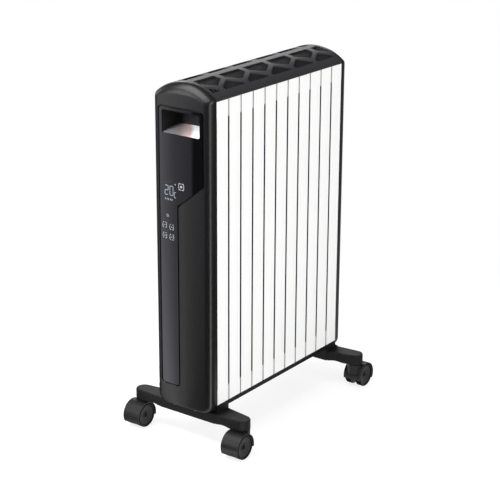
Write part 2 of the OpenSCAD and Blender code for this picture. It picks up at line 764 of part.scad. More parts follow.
foot_out = foot_y + arm_end_r;
foot_in = foot_out - arm_root;
saddle_t = 3.2;
saddle_z = arm_z + 0.5;
bar_in = foot_in + saddle_t + seat_gap;
bar_out = foot_out - saddle_t - seat_gap;
saddle_x = half_w + 0.5;
module foot_screw_places(s) {
    for (x = [-40, 40], y = [foot_in + 10, seam_y - 11]) translate([x, s * y, 0]) children();
}

module saddle() {
    color(black) difference() {
        union() {
            translate([-saddle_x, foot_in - 1, saddle_z])
                cube([2 * saddle_x, arm_root + 1, cover_z - seat_gap - saddle_z]);
            translate([-saddle_x, foot_in - 1, saddle_z])
                cube([2 * saddle_x, seam_y - seat_gap - foot_in + 1, tray_z - saddle_z]);
        }
        translate([-saddle_x - 1, bar_in - seat_gap, saddle_z - 1])
            cube([2 * saddle_x + 2, bar_out - bar_in + 2 * seat_gap, bar_top + seat_gap - saddle_z + 1]);
        foot_screw_places(1) translate([0, 0, saddle_z])
            cylinder(r = screw_d / 2 + pass_clear, h = 40);
    }
}
module front_saddle() { mirror([0, 1, 0]) saddle(); }
module rear_saddle() { saddle(); }

stem_top = arm_top - 5;
scoop_r = 45;
module foot_arm() {
    root_x = saddle_x + seat_gap;
    fall = (arm_h - 2.5) / arm_h;
    difference() {
        hull() for (c = [[0, 1, 1.2], [1.5, arm_h - 3, 0], [arm_h - 1.9, arm_h - 0.9, 0.9],
                         [arm_h - 1, arm_h, 3]]) {
            translate([castor_x, foot_y, arm_z + c[0]])
                cylinder(r = arm_end_r - c[2], h = c[1] - c[0], $fn = 32);
            translate([root_x, foot_in + c[2], arm_z + 0.5 + fall * c[0]])
                cube([1, arm_root - 2 * c[2], fall * (c[1] - c[0])]);
        }
        translate([root_x + 18, 0, arm_z + 3 - scoop_r]) rotate([-90, 0, 0]) cylinder(r = scoop_r, h = 2 * foot_y);
    }
}
module foot() {
    color(black) difference() {
        union() {
            foot_arm();
            mirror([1, 0, 0]) foot_arm();
            translate([-saddle_x - 4, bar_in, arm_z + 0.6])
                cube([2 * saddle_x + 8, bar_out - bar_in, bar_top - arm_z - 0.6]);
        }
        foot_screw_places(1) translate([0, 0, arm_z - 1]) {
            cylinder(r = screw_d / 2 + pass_clear, h = arm_h);
            cylinder(d = 8, h = 4.2);
        }
        for (x = [-castor_x, castor_x]) translate([x, foot_y, arm_z - 1])
            cylinder(d = stem_d, h = stem_top - arm_z + 1);
    }
}
module front_foot() { mirror([0, 1, 0]) foot(); }
module rear_foot() { foot(); }

module foot_screws() {
    color(steel) for (s = [-1, 1]) foot_screw_places(s) {
        translate([0, 0, arm_z + 0.9]) cylinder(d = 6.4, h = 2.3);
        translate([0, 0, arm_z + 3]) cylinder(d = screw_d - 0.1, h = tray_z + floor_t + 1.5 - arm_z - 3);
    }
}

// ---------------------------------------------------------------- castors

stem_foot = wheel_r + trail - 2;
module castor_stems() {
    color(steel) for (x = [-castor_x, castor_x], y = [-foot_y, foot_y]) translate([x, y, 0]) {
        translate([0, 0, stem_foot]) cylinder(d = stem_d, h = stem_top - stem_foot - 0.5);
        translate([0, 0, collar_z + 0.2]) cylinder(d = stem_d + 6, h = swivel_gap - 0.25);
    }
}

// A castor stands at its swivel axis, with its axle towards +Y
module castor_place(sx, sy) {
    translate([sx * castor_x, sy * foot_y, 0]) mirror([0, sy < 0 ? 1 : 0, 0]) children();
}
module along_x(x0, x1, r) {
    translate([x0, trail, wheel_r]) rotate([0, 90, 0]) cylinder(r = r, h = x1 - x0);
}

hood_cut = wheel_r - 9;
hood_tilt = 8;
module hood() {
    color(black) difference() {
        union() {
            along_x(-hood_w / 2, hood_w / 2, hood_r);
            translate([0, 0, wheel_r + 8]) cylinder(d = collar_d, h = collar_z - wheel_r - 8);
        }
        for (s = [-1, 1]) along_x(s > 0 ? hood_web / 2 : -hood_w, s > 0 ? hood_w : -hood_web / 2, hood_in_r);
        translate([0, trail, hood_cut]) rotate([-hood_tilt, 0, 0])
            translate([-hood_w, -3 * hood_r, -3 * hood_r]) cube([2 * hood_w, 6 * hood_r, 3 * hood_r]);
        along_x(-hood_w, hood_w, axle_d / 2);
        translate([0, 0, stem_foot - 0.8]) cylinder(r = stem_d / 2 + run_clear, h = 3 * hood_r);
    }
}
module hood_front_left() { castor_place(-1, -1) hood(); }
module hood_front_right() { castor_place(1, -1) hood(); }
module hood_rear_left() { castor_place(-1, 1) hood(); }
module hood_rear_right() { castor_place(1, 1) hood(); }

hub_w = wheel_w - 2.5;
head_t = 1.4;
module axle() {
    end = wheel_x + hub_w + 0.3;
    color(steel) {
        along_x(-end, end, axle_d / 2);
        for (s = [-1, 1]) along_x(s > 0 ? end - eps : -end - head_t, s > 0 ? end + head_t : eps - end,
                                  axle_d / 2 + 1.6);
    }
}
module axle_front_left() { castor_place(-1, -1) axle(); }
module axle_front_right() { castor_place(1, -1) axle(); }
module axle_rear_left() { castor_place(-1, 1) axle(); }
module axle_rear_right() { castor_place(1, 1) axle(); }

// Wheel with a dished outer face, on one side of the hood's web
module wheel(side) {
    bore = axle_d / 2 + run_clear;
    color("#333337") translate([0, trail, wheel_r]) rotate([0, side * 90, 0]) translate([0, 0, wheel_x])
        rotate_extrude() polygon([[bore, 0], [wheel_r - 1.2, 0], [wheel_r, 1.2], [wheel_r, wheel_w - 1.5],
            [wheel_r - 0.5, wheel_w - 0.4], [wheel_r - 1.5, wheel_w], [wheel_r - 3.2, wheel_w],
            [wheel_r - 4.4, wheel_w - 1.6], [8, wheel_w - 3.6], [7, hub_w], [bore, hub_w]]);
}
module wheel_front_left_outer() { castor_place(-1, -1) wheel(-1); }
module wheel_front_left_inner() { castor_place(-1, -1) wheel(1); }
module wheel_front_right_outer() { castor_place(1, -1) wheel(1); }
module wheel_front_right_inner() { castor_place(1, -1) wheel(-1); }
module wheel_rear_left_outer() { castor_place(-1, 1) wheel(-1); }
module wheel_rear_left_inner() { castor_place(-1, 1) wheel(1); }
module wheel_rear_right_outer() { castor_place(1, 1) wheel(1); }
module wheel_rear_right_inner() { castor_place(1, 1) wheel(-1); }

front_cover();
control_fascia();
front_grip_pocket();
display_module();
control_board();
power_board();
power_relays();
terminal_block();
room_sensor();
tip_over_switch();
rocker_housing();
mains_rocker();
cord_gland();
bay_panel_left();
bay_panel_right();
front_bulkhead();
module_1();
module_2();
module_3();
module_4();
module_5();
heating_elements();
thermal_cutouts();
tie_rods();
tie_rod_nuts();
slat_gap_closers();
wiring_harness();
rear_bulkhead();
rear_cover();
rear_grip_pocket();
bottom_tray();
top_grille();
louvre_insert();
cover_screws();
front_saddle();
rear_saddle();
front_foot();
rear_foot();
foot_screws();
castor_stems();
hood_front_left();
hood_front_right();
hood_rear_left();
hood_rear_right();
axle_front_left();
axle_front_right();
axle_rear_left();
axle_rear_right();
wheel_front_left_outer();
wheel_front_left_inner();
wheel_front_right_outer();
wheel_front_right_inner();
wheel_rear_left_outer();
wheel_rear_left_inner();
wheel_rear_right_outer();
wheel_rear_right_inner();
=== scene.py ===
import json
from math import atan2, cos, degrees, pi, radians, sin, sqrt

import bmesh
import bpy
from mathutils import Matrix, Vector


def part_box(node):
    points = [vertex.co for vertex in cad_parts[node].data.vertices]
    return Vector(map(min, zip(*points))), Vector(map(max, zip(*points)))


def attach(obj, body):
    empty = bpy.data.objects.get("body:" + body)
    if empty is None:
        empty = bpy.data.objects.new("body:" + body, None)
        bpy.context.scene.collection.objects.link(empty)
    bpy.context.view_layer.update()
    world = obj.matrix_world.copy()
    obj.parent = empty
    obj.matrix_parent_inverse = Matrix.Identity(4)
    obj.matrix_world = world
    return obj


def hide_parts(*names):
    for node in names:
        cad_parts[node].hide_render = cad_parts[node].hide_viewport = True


bl_info = {
    "name": "Panel radiator finish",
    "version": (1, 0, 0),
    "blender": (4, 5, 0),
    "location": "3D View > Sidebar > Radiator",
    "description": "Finished pieces, materials and studio for a panel radiator on castors",
    "category": "Object",
}

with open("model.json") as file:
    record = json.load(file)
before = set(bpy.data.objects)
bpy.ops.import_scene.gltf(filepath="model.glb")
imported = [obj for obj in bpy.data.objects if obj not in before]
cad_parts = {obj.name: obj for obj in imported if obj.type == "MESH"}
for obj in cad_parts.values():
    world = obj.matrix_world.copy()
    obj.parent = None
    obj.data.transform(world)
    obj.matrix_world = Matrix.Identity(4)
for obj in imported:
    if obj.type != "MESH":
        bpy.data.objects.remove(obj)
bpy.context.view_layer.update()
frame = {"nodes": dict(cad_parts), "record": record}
nodes = frame["nodes"]
body_of = {n: body for body, names in frame["record"]["behaviour"]["bodies"].items() for n in names}
MM = 0.001


def linear(code):
    """Turns an sRGB hex colour to linear red, green and blue."""
    parts = [int(code[i:i + 2], 16) / 255 for i in (1, 3, 5)]
    return [p / 12.92 if p <= 0.04045 else ((p + 0.055) / 1.055) ** 2.4 for p in parts]


def colour(default, what):
    return bpy.props.FloatVectorProperty(
        name=what, description=f"Colour of the {what.lower()}", subtype="COLOR", size=3,
        min=0, max=1, default=linear(default))


def length(default_mm, what, description):
    return bpy.props.FloatProperty(
        name=what, description=description, default=default_mm * MM, min=0,
        subtype="DISTANCE", unit="LENGTH")


# ---------------------------------------------------------------- what a user may change


class RadiatorSizes(bpy.types.PropertyGroup):
    cover_lip: length(1.2, "Cover lip", "Rounding of the edges of the end covers")
    slat_edge: length(0.8, "Slat edge", "Rounding of the long edges of the slats")
    grille_edge: length(0.5, "Grille edge", "Rounding of the ribs of the top grille")
    foot_edge: length(1.2, "Foot edge", "Rounding of the edges of the feet")
    hood_edge: length(1.3, "Hood edge", "Rounding of the edges of the castor hoods")
    fascia_edge: length(0.25, "Fascia edge", "Rounding of the edges of the polished fascia")
    mark_height: length(0.08, "Mark height", "Thickness of the printed and lit marks")


class RadiatorColours(bpy.types.PropertyGroup):
    cover: colour("#121214", "End covers")
    fascia: colour("#08080a", "Polished fascia")
    lens: colour("#08080a", "Display band")
    slats: colour("#f9f9f8", "Slats")
    # Dark colour inside the slats: the modules' own grey, and painted shade on the slat sides in the
    # gaps
    core: colour("#1c2026", "Slat core")
    grille: colour("#28282a", "Top grille")
    louvre: colour("#333336", "Louvre")
    castors: colour("#141416", "Castors")
    digits: colour("#c6d4e6", "Display digits")
    print: colour("#989ca1", "Printed marks")


def sizes():
    return bpy.context.scene.radiator_sizes


def colours():
    return bpy.context.scene.radiator_colours


# ---------------------------------------------------------------- materials


def add(tree, kind, values, **settings):
    """Adds a node with its settings; a value is a number, a colour or another node's output."""
    node = tree.nodes.new("ShaderNode" + kind)
    for name, value in settings.items():
        setattr(node, name, value)
    for key, value in values.items():
        if isinstance(value, bpy.types.NodeSocket):
            tree.links.new(value, node.inputs[key])
        else:
            node.inputs[key].default_value = value
    return node


def start(name):
    """An empty node material and its object coordinates."""
    material = bpy.data.materials.new(name)
    material.use_nodes = True
    tree = material.node_tree
    tree.nodes.clear()
    return material, tree, add(tree, "TexCoord", {}).outputs["Object"]


def end(tree, **values):
    """The surface shader, with its sockets named with _ for a space."""
    values = {key.replace("_", " "): value for key, value in values.items()}
    shader = add(tree, "BsdfPrincipled", values)
    add(tree, "OutputMaterial", {"Surface": shader.outputs[0]})


def per_metre(size_mm):
    """Noise scale whose cells are this wide."""
    return 1000 / size_mm


def moulded(name, base, roughness, grain_mm, depth_mm, drift=0.12, shine=0.5):
    """Moulded thermoplastic: an even tone, with the fine spark-eroded grain of its mould.
    The real grain is about 0.3 mm and is drawn coarser, so that it shows."""
    material, tree, where = start(name)
    grain = add(tree, "TexNoise", {"Vector": where, "Scale": per_metre(grain_mm), "Detail": 3.0})
    flow = add(tree, "TexNoise", {"Vector": where, "Scale": per_metre(70), "Detail": 2.0})
    tone = add(tree, "MixRGB", {
        "Fac": flow.outputs["Fac"], "Color1": (*[c * (1 - drift) for c in base], 1),
        "Color2": (*[c * (1 + drift) for c in base], 1)})
    rough = add(tree, "MapRange", {
        "Value": grain.outputs["Fac"], "From Min": 0.3, "From Max": 0.7,
        "To Min": roughness - 0.05, "To Max": roughness + 0.05})
    bump = add(tree, "Bump", {
        "Strength": 0.4, "Distance": depth_mm * MM, "Height": grain.outputs["Fac"]})
    end(tree, Base_Color=tone.outputs[0], Roughness=rough.outputs[0], Normal=bump.outputs[0],
        Specular_IOR_Level=shine)
    return material


def polished(name, base, roughness, wave_mm=0.02):
    """Mirror-polished moulding: a clear and faintly blue reflection, which swims a little over the
    flow of the plastic."""
    material, tree, where = start(name)
    flow = add(tree, "TexNoise", {"Vector": where, "Scale": per_metre(60), "Detail": 1.0})
    haze = add(tree, "TexNoise", {"Vector": where, "Scale": per_metre(9), "Detail": 4.0})
    rough = add(tree, "MapRange", {
        "Value": haze.outputs["Fac"], "From Min": 0.35, "From Max": 0.7,
        "To Min": roughness, "To Max": roughness + 0.015})
    tone = add(tree, "MixRGB", {
        "Fac": flow.outputs["Fac"], "Color1": (*[c * 0.92 for c in base], 1),
        "Color2": (*[c * 1.08 for c in base], 1)})
    bump = add(tree, "Bump", {"Strength": 0.25, "Distance": wave_mm * MM, "Height": flow.outputs["Fac"]})
    end(tree, Base_Color=tone.outputs[0], Roughness=rough.outputs[0], Normal=bump.outputs[0],
        Specular_Tint=(0.88, 0.88, 1, 1))
    return material


def set_stops(ramp, stops):
    """Places the stops of a colour ramp, each given as a position and a linear colour."""
    while len(ramp.elements) < len(stops):
        ramp.elements.new(0.5)
    for stop, (position, tone) in zip(ramp.elements, stops):
        stop.position = position
        stop.color = (*tone, 1)


def plate_painted_light(name):
    """Plate in the grip, whose colour is painted light: it runs from smoke grey at the left, painted
    shade of the pocket's left wall, to white at the right, a painted highlight, along a line that lies
    askew in X and Y and wanders by 4 mm."""
    material, tree, where = start(name)
    split = add(tree, "SeparateXYZ", {"Vector": where})
    drift = add(tree, "TexNoise", {"Vector": where, "Scale": per_metre(14), "Detail": 1.0})
    # The line between painted shade and painted highlight slants like the shadow edge of the pocket's
    # left wall
    slant = add(tree, "Math", {0: split.outputs["Y"], 1: 0.73, 2: split.outputs["X"]},
                operation="MULTIPLY_ADD")
    wander = add(tree, "Math", {0: drift.outputs["Fac"], 1: 0.004, 2: slant.outputs[0]},
                 operation="MULTIPLY_ADD")
    along = add(tree, "MapRange", {
        "Value": wander.outputs[0], "From Min": -0.198, "From Max": -0.118})
    tone = add(tree, "ValToRGB", {"Fac": along.outputs[0]})
    # Painted shade at the left, painted highlight at the right
    set_stops(tone.color_ramp, ((0, linear("#5a595f")), (0.5, linear("#6e6869")),
                                (0.78, linear("#b9a29e")), (0.9, linear("#ffffff"))))
    bump = add(tree, "Bump", {"Strength": 0.2, "Distance": 0.02 * MM, "Height": drift.outputs["Fac"]})
    end(tree, Base_Color=tone.outputs[0], Roughness=0.25, Normal=bump.outputs[0])
    return material


def powder_coat(name, base, core):
    """White powder coat: satin, with the orange-peel ripple of a baked film, about 2 mm across.
    Only the outer faces of the slats are white. Their sides, and the modules behind them, take the dark
    core colour:
    the modules' own dark grey, and painted shade in the gaps. A band along each long edge of a face is
    painted shade of its rolled edge, painted lighter where the closers fill the gaps between the slats."""
    material, tree, where = start(name)
    split = add(tree, "SeparateXYZ", {"Vector": where})
    reach = add(tree, "Math", {0: split.outputs["X"]}, operation="ABSOLUTE")
    # White only on the outer faces; the slat sides in the gaps take the dark colour as painted shade
    skin = add(tree, "MapRange", {
        "Value": reach.outputs[0], "From Min": (slat_face - 0.22) * MM,
        "From Max": (slat_face - 0.1) * MM})
    # Painted shade: a dark band along each gap, on the rolled edges of the slats
    run = add(tree, "Math", {0: split.outputs["Y"], 1: seam_y * MM}, operation="ADD")
    off_gap = add(tree, "Math", {0: run.outputs[0], 1: slat_pitch / 2 * MM}, operation="PINGPONG")
    roll = add(tree, "MapRange", {
        "Value": off_gap.outputs[0], "From Min": (slat_gap / 2 + 0.55) * MM,
        "From Max": (slat_gap / 2 + 0.75) * MM})
    # The painted shade is lighter near the ends, where the closers fill the gaps
    height = add(tree, "Math", {0: split.outputs["Z"], 1: slat_middle * MM}, operation="SUBTRACT")
    from_middle = add(tree, "Math", {0: height.outputs[0]}, operation="ABSOLUTE")
    closed = add(tree, "MapRange", {
        "Value": from_middle.outputs[0], "From Min": (slat_half - closer_h - 2) * MM,
        "From Max": (slat_half - closer_h + 3) * MM, "To Min": 0.0, "To Max": 0.65})
    pale = add(tree, "Math", {0: roll.outputs[0], 1: closed.outputs[0]}, operation="MAXIMUM")
    flat = add(tree, "Math", {0: skin.outputs[0], 1: pale.outputs[0]}, operation="MULTIPLY")
    peel = add(tree, "TexNoise", {"Vector": where, "Scale": per_metre(2.2), "Detail": 1.0})
    cloud = add(tree, "TexNoise", {"Vector": where, "Scale": per_metre(120), "Detail": 2.0})
    tone = add(tree, "MixRGB", {
        "Fac": cloud.outputs["Fac"], "Color1": (*[c * 0.985 for c in base], 1),
        "Color2": (*base, 1)})
    tone = add(tree, "MixRGB", {
        "Fac": flat.outputs[0], "Color1": (*core, 1), "Color2": tone.outputs[0]})
    rough = add(tree, "MapRange", {
        "Value": peel.outputs["Fac"], "From Min": 0.3, "From Max": 0.7, "To Min": 0.38, "To Max": 0.46})
    bump = add(tree, "Bump", {"Strength": 0.3, "Distance": 0.02 * MM, "Height": peel.outputs["Fac"]})
    end(tree, Base_Color=tone.outputs[0], Roughness=rough.outputs[0], Normal=bump.outputs[0])
    return material


def metal(name, base, roughness, streak_mm):
    """Drawn or rolled steel: fine lines along one way, with slow patches of tone."""
    material, tree, where = start(name)
    stretch = add(tree, "Mapping", {"Vector": where, "Scale": (1, 1, 0.06)})
    line = add(tree, "TexNoise", {
        "Vector": stretch.outputs[0], "Scale": per_metre(streak_mm), "Detail": 4.0})
    patch = add(tree, "TexNoise", {"Vector": where, "Scale": per_metre(25), "Detail": 2.0})
    tone = add(tree, "MixRGB", {
        "Fac": patch.outputs["Fac"], "Color1": (*[c * 0.85 for c in base], 1),
        "Color2": (*[min(1, c * 1.1) for c in base], 1)})
    rough = add(tree, "MapRange", {
        "Value": line.outputs["Fac"], "From Min": 0.3, "From Max": 0.7,
        "To Min": roughness - 0.08, "To Max": roughness + 0.08})
    bump = add(tree, "Bump", {"Strength": 0.2, "Distance": 0.01 * MM, "Height": line.outputs["Fac"]})
    end(tree, Base_Color=tone.outputs[0], Metallic=1.0, Roughness=rough.outputs[0],
        Normal=bump.outputs[0])
    return material


def solder_mask(name):
    """Green lacquer over copper tracks, which show as a paler net about 3 mm apart."""
    material, tree, where = start(name)
    net = add(tree, "TexBrick", {
        "Vector": where, "Scale": 1.0, "Mortar Size": 0.0004, "Brick Width": 0.006,
        "Row Height": 0.003, "Mortar Smooth": 0.1, "Color1": (*linear("#1c5c3a"), 1),
        "Color2": (*linear("#1a5335"), 1), "Mortar": (*linear("#3f8a5c"), 1)})
    bump = add(tree, "Bump", {"Strength": 0.3, "Distance": 0.03 * MM, "Height": net.outputs["Fac"]})
    end(tree, Base_Color=net.outputs["Color"], Roughness=0.28, Normal=bump.outputs[0])
    return material


def glowing(name, base, strength):
    """A lit display segment: light under the tinted lens, mottled a little."""
    material, tree, where = start(name)
    mottle = add(tree, "TexNoise", {"Vector": where, "Scale": per_metre(3), "Detail": 1.0})
    tone = add(tree, "MixRGB", {
        "Fac": mottle.outputs["Fac"], "Color1": (*[c * 0.9 for c in base], 1), "Color2": (*base, 1)})
    end(tree, Base_Color=(0.01, 0.01, 0.012, 1), Roughness=0.2,
        Emission_Color=tone.outputs[0], Emission_Strength=strength)
    return material


def printed(name, base):
    """Pad-printed ink: matt, and slightly broken where it lies on the polish."""
    material, tree, where = start(name)
    speck = add(tree, "TexNoise", {"Vector": where, "Scale": per_metre(0.8), "Detail": 2.0})
    tone = add(tree, "MixRGB", {
        "Fac": speck.outputs["Fac"], "Color1": (*[c * 0.85 for c in base], 1), "Color2": (*base, 1)})
    end(tree, Base_Color=tone.outputs[0], Roughness=0.5)
    return material


made = {}


def material(name):
    """Makes each material once."""
    if name in made:
        return made[name]
    c = colours()
    recipes = {
        # End covers and small housings
        "satin_abs": lambda: moulded("satin_abs", c.cover, 0.32, 1.4, 0.03),
        # Fascia
        "polished_abs": lambda: polished("polished_abs", c.fascia, 0.015),
        # Walls of the grip pockets
        "pocket_abs": lambda: moulded("pocket_abs", linear("#232324"), 0.5, 1.0, 0.03, 0.12, 0.1),
        # Plate in the grip, its colour painted shade and painted highlight
        "plate_painted_light": lambda: plate_painted_light("plate_painted_light"),
        # Display module behind the fascia
        "tinted_acrylic": lambda: polished("tinted_acrylic", c.lens, 0.03, 0.01),
        # Slats, with painted shade along their gaps
        "powder_coat": lambda: powder_coat("powder_coat", c.slats, c.core),
        # Top grille, and the louvre below it; the sides of its slots take a near-black copy, painted
        # shade
        "grille_nylon": lambda: moulded("grille_nylon", c.grille, 0.5, 1.2, 0.04),
        "louvre_nylon": lambda: moulded("louvre_nylon", c.louvre, 0.55, 1.2, 0.04),
        "louvre_painted_shade": lambda: moulded("louvre_painted_shade", linear("#08080a"), 0.7, 1.2, 0.04, 0.12, 0.1),
        # Hoods, feet, wheel discs, and rubber treads, whose material also paints the shade in the wheel
        # grooves
        "castor_nylon": lambda: moulded("castor_nylon", c.castors, 0.42, 1.2, 0.02, 0.12, 0.4),
        "foot_nylon": lambda: moulded("foot_nylon", c.castors, 0.5, 1.2, 0.02, 0.12, 0.25),
        "tyre_nylon": lambda: moulded("tyre_nylon", linear("#0b0b0c"), 0.46, 1.0, 0.05),
        "tread_rubber_and_groove_shade": lambda: moulded("tread_rubber_and_groove_shade", linear("#020202"), 0.7, 1.0, 0.03, 0.12, 0.04),
        # Painted closers between the slats
        "closer_paint": lambda: moulded("closer_paint", linear("#dcdee2"), 0.45, 1.6, 0.02, 0.03),
        # Switches, sensor case and relays
        "switch_abs": lambda: moulded("switch_abs", linear("#19191b"), 0.34, 0.9, 0.02),
        "pale_abs": lambda: moulded("pale_abs", linear("#c9cbcd"), 0.4, 1.0, 0.02, 0.03),
        "relay_case": lambda: moulded("relay_case", linear("#21355c"), 0.35, 1.0, 0.02),
        # Ceramic terminal block and cut-outs
        "steatite": lambda: moulded("steatite", linear("#e0d7c2"), 0.6, 0.8, 0.05, 0.04),
        # Sleeved leads
        "silicone_sleeve": lambda: moulded("silicone_sleeve", linear("#8a2f1c"), 0.5, 0.8, 0.02),
        # Steel: plated sheet and screws, blackened axles, element sheaths
        "zinc_plate": lambda: metal("zinc_plate", linear("#c4c7cb"), 0.3, 0.5),
        "black_steel": lambda: metal("black_steel", linear("#2b2b2e"), 0.4, 0.5),
        "sheath_steel": lambda: metal("sheath_steel", linear("#8d8781"), 0.35, 0.4),
        # Circuit boards
        "solder_mask": lambda: solder_mask("solder_mask"),
        # Lit and printed marks on the fascia
        "lit_digits": lambda: glowing("lit_digits", c.digits, 0.9),
        "lit_red": lambda: glowing("lit_red", linear("#8a2a28"), 0.5),
        "lit_white": lambda: glowing("lit_white", linear("#e6e6ea"), 0.85),
        "pad_print": lambda: printed("pad_print", c.print),
        "sensor_acrylic": lambda: polished("sensor_acrylic", linear("#5a5b5f"), 0.2),
    }
    made[name] = recipes[name]()
    return made[name]


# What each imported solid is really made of
node_finish = {
    "satin_abs": ["front_cover", "rear_cover", "rocker_housing", "cord_gland"],
    "foot_nylon": ["bottom_tray", "front_saddle", "rear_saddle", "front_foot", "rear_foot"],
    "polished_abs": ["control_fascia"],
    "pocket_abs": ["front_grip_pocket", "rear_grip_pocket"],
    "tinted_acrylic": ["display_module"],
    "solder_mask": ["control_board", "power_board"],
    "relay_case": ["power_relays"],
    "steatite": ["terminal_block", "thermal_cutouts"],
    "switch_abs": ["tip_over_switch", "mains_rocker"],
    "pale_abs": ["room_sensor"],
    "powder_coat": ["bay_panel_left", "bay_panel_right"] + [f"module_{k}" for k in range(1, 6)],
    "zinc_plate": ["front_bulkhead", "rear_bulkhead", "tie_rods", "tie_rod_nuts", "cover_screws",
                   "foot_screws", "castor_stems"],
    "closer_paint": ["slat_gap_closers"],
    "sheath_steel": ["heating_elements"],
    "silicone_sleeve": ["wiring_harness"],
    "grille_nylon": ["top_grille"],
    "louvre_nylon": ["louvre_insert"],
}


# ---------------------------------------------------------------- making pieces


def place(obj, body, finish, angle=35):
    """Links a finished piece to the scene, shades it and lets it ride on its body."""
    obj.data.materials.clear()
    obj.data.materials.append(material(finish))
    for face in obj.data.polygons:
        face.use_smooth = True
    obj.data.set_sharp_from_angle(angle=radians(angle))
    if obj.name not in bpy.context.collection.objects:
        bpy.context.collection.objects.link(obj)
    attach(obj, body)
    return obj


def from_bmesh(bm, name):
    """Closes a bmesh into a new object, facing outwards."""
    bmesh.ops.remove_doubles(bm, verts=bm.verts, dist=1e-6)
    bmesh.ops.recalc_face_normals(bm, faces=bm.faces)
    mesh = bpy.data.meshes.new(name)
    bm.to_mesh(mesh)
    bm.free()
    obj = bpy.data.objects.new(name, mesh)
    bpy.context.collection.objects.link(obj)
    return obj


def soften(obj, width, segments=2, angle=35):
    """Rounds the hard edges of a piece and keeps its flats flat."""
    bevel = obj.modifiers.new("edges", "BEVEL")
    bevel.width = width
    bevel.segments = segments
    bevel.limit_method = "ANGLE"
    bevel.angle_limit = radians(angle)
    bevel.use_clamp_overlap = True
    bevel.miter_outer = "MITER_ARC"
    weights = obj.modifiers.new("flats", "WEIGHTED_NORMAL")
    weights.keep_sharp = False
    return obj


def dressed(node, finish, width, segments=2, angle=35):
    """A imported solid's own shape, merged, with its edges rounded as a mould rounds them."""
    bm = bmesh.new()
    bm.from_mesh(nodes[node].data)
    bmesh.ops.remove_doubles(bm, verts=bm.verts, dist=2e-6)
    bmesh.ops.dissolve_limit(bm, angle_limit=radians(0.5), verts=bm.verts, edges=bm.edges)
    mesh = bpy.data.meshes.new(node + "_finished")
    bm.to_mesh(mesh)
    bm.free()
    obj = bpy.data.objects.new(node + "_finished", mesh)
    place(obj, body_of[node], finish, angle)
    soften(obj, width, segments, angle)
    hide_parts(node)
    return obj


def prism(points, low, high, name, axis="Y"):
    """A closed prism of an outline in mm, between two places along X or Y."""
    bm = bmesh.new()
    spots = [(low, u, v) if axis == "X" else (u, low, v) for u, v in points]
    face = bm.faces.new([bm.verts.new(Vector(spot) * MM) for spot in spots])
    drawn = bmesh.ops.extrude_face_region(bm, geom=[face])["geom"]
    way = Vector((1, 0, 0) if axis == "X" else (0, 1, 0)) * (high - low) * MM
    bmesh.ops.translate(bm, verts=[g for g in drawn if isinstance(g, bmesh.types.BMVert)], vec=way)
    return from_bmesh(bm, name)


def cut(obj, cutter):
    """Cuts a piece with another, which is then thrown away."""
    modifier = obj.modifiers.new("cut", "BOOLEAN")
    modifier.object = cutter
    modifier.operation = "DIFFERENCE"
    modifier.solver = "EXACT"
    bpy.context.view_layer.update()
    mesh = bpy.data.meshes.new_from_object(obj.evaluated_get(bpy.context.evaluated_depsgraph_get()))
    obj.modifiers.clear()
    obj.data = mesh
    bpy.data.objects.remove(cutter)
    return obj


# ---------------------------------------------------------------- shapes of the body, in mm


# Body and end covers: the seams are at +-seam_y, and the crown is how far an end face bulges
half_w, seam_y, end_depth, crown = 64, 198, 21, 2
cover_z = round(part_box("front_cover")[0].z / MM, 1)
arch_z, arch_r, shoulder_r, corner_r, foot_r = cover_z + 512, 100, 8, 14, 16
wall = 2.7
# How far the sides and the foot of a cover draw in, for each mm of depth
draft = 0.03
# Places along Y behind the wall of an end face and well in front of it, for cutters
inside, outside = 205, 230
# Slats, and the closers at both ends of each gap between them
slat_face = half_w - 0.3
slat_pitch, slat_gap = 36, 3.2
slat_middle, slat_half = cover_z + 299, 285
closer_h = 31
# Fascia: wide above and a narrow strip below, sunk a little in its recess with a gap all round
fascia_x, strip_x = 48, -8
fascia_top, slant_top, slant_foot, fascia_foot = (cover_z + h for h in (566, 432, 389, 42))
fascia_r, fascia_t, fascia_sunk, gap = 6, 2.0, 0.6, 2.0
# Ledge behind that gap: its reach past the fascia, its reach under it and its thickness
ledge_out, ledge_in, ledge_t = 4, 2.4, 1.4
# Grip pocket, and the thin plate on its floor, which rises towards the back
grip_x, grip_top, grip_foot, grip_depth = 42, cover_z + 561, cover_z + 519, 44.5
plate_lift, plate_rise, plate_t, plate_inset = 0.5, 8.9, 0.6, 2.5
# Pad that the mains rocker and the cord gland sit on, cut into the side of the front cover
pad_y, pad_z, pad_r, pad_cut = (-213, -199), (cover_z + 22, cover_z + 75), 6.9, 4.6
# The tread of a wheel starts at this radius, and a groove parts its rim from its disc; the groove takes
# the dark tread colour as painted shade
tread_r, groove_r0, groove_r1 = 21.3, 18.5, 19.9


def arc(cx, cz, r, a0, a1, n):
    """Points of an arc from one angle to another, in degrees."""
    angles = [radians(a0 + (a1 - a0) * i / n) for i in range(n + 1)]
    return [(cx + r * cos(a), cz + r * sin(a)) for a in angles]


def body_outline(side, top, foot):
    """Arched outline of the body, drawn in at the sides, the top and the foot."""
    hw, r = half_w - side, arch_r - top
    s, f = min(shoulder_r, hw * 0.7), min(foot_r, hw * 0.7)
    cx = hw - s
    cz = arch_z + sqrt((r - s) ** 2 - cx * cx)
    a = degrees(atan2(cz - arch_z, cx))
    zf = cover_z + foot + f
    step = (180 - 2 * a) / 30
    return (arc(hw - f, zf, f, -90, 0, 10) + arc(cx, cz, s, 0, a, 8)
            + arc(0, arch_z, r, a + step, 180 - a - step, 28)
            + arc(-cx, cz, s, 180 - a, 180, 8) + arc(f - hw, zf, f, 180, 270, 10))


def face_y(x, sunk=0.0):
    """Distance of the crowned end face from the middle of the body."""
    flat = half_w - corner_r
    return seam_y + end_depth - sunk - crown * (x / flat) ** 2


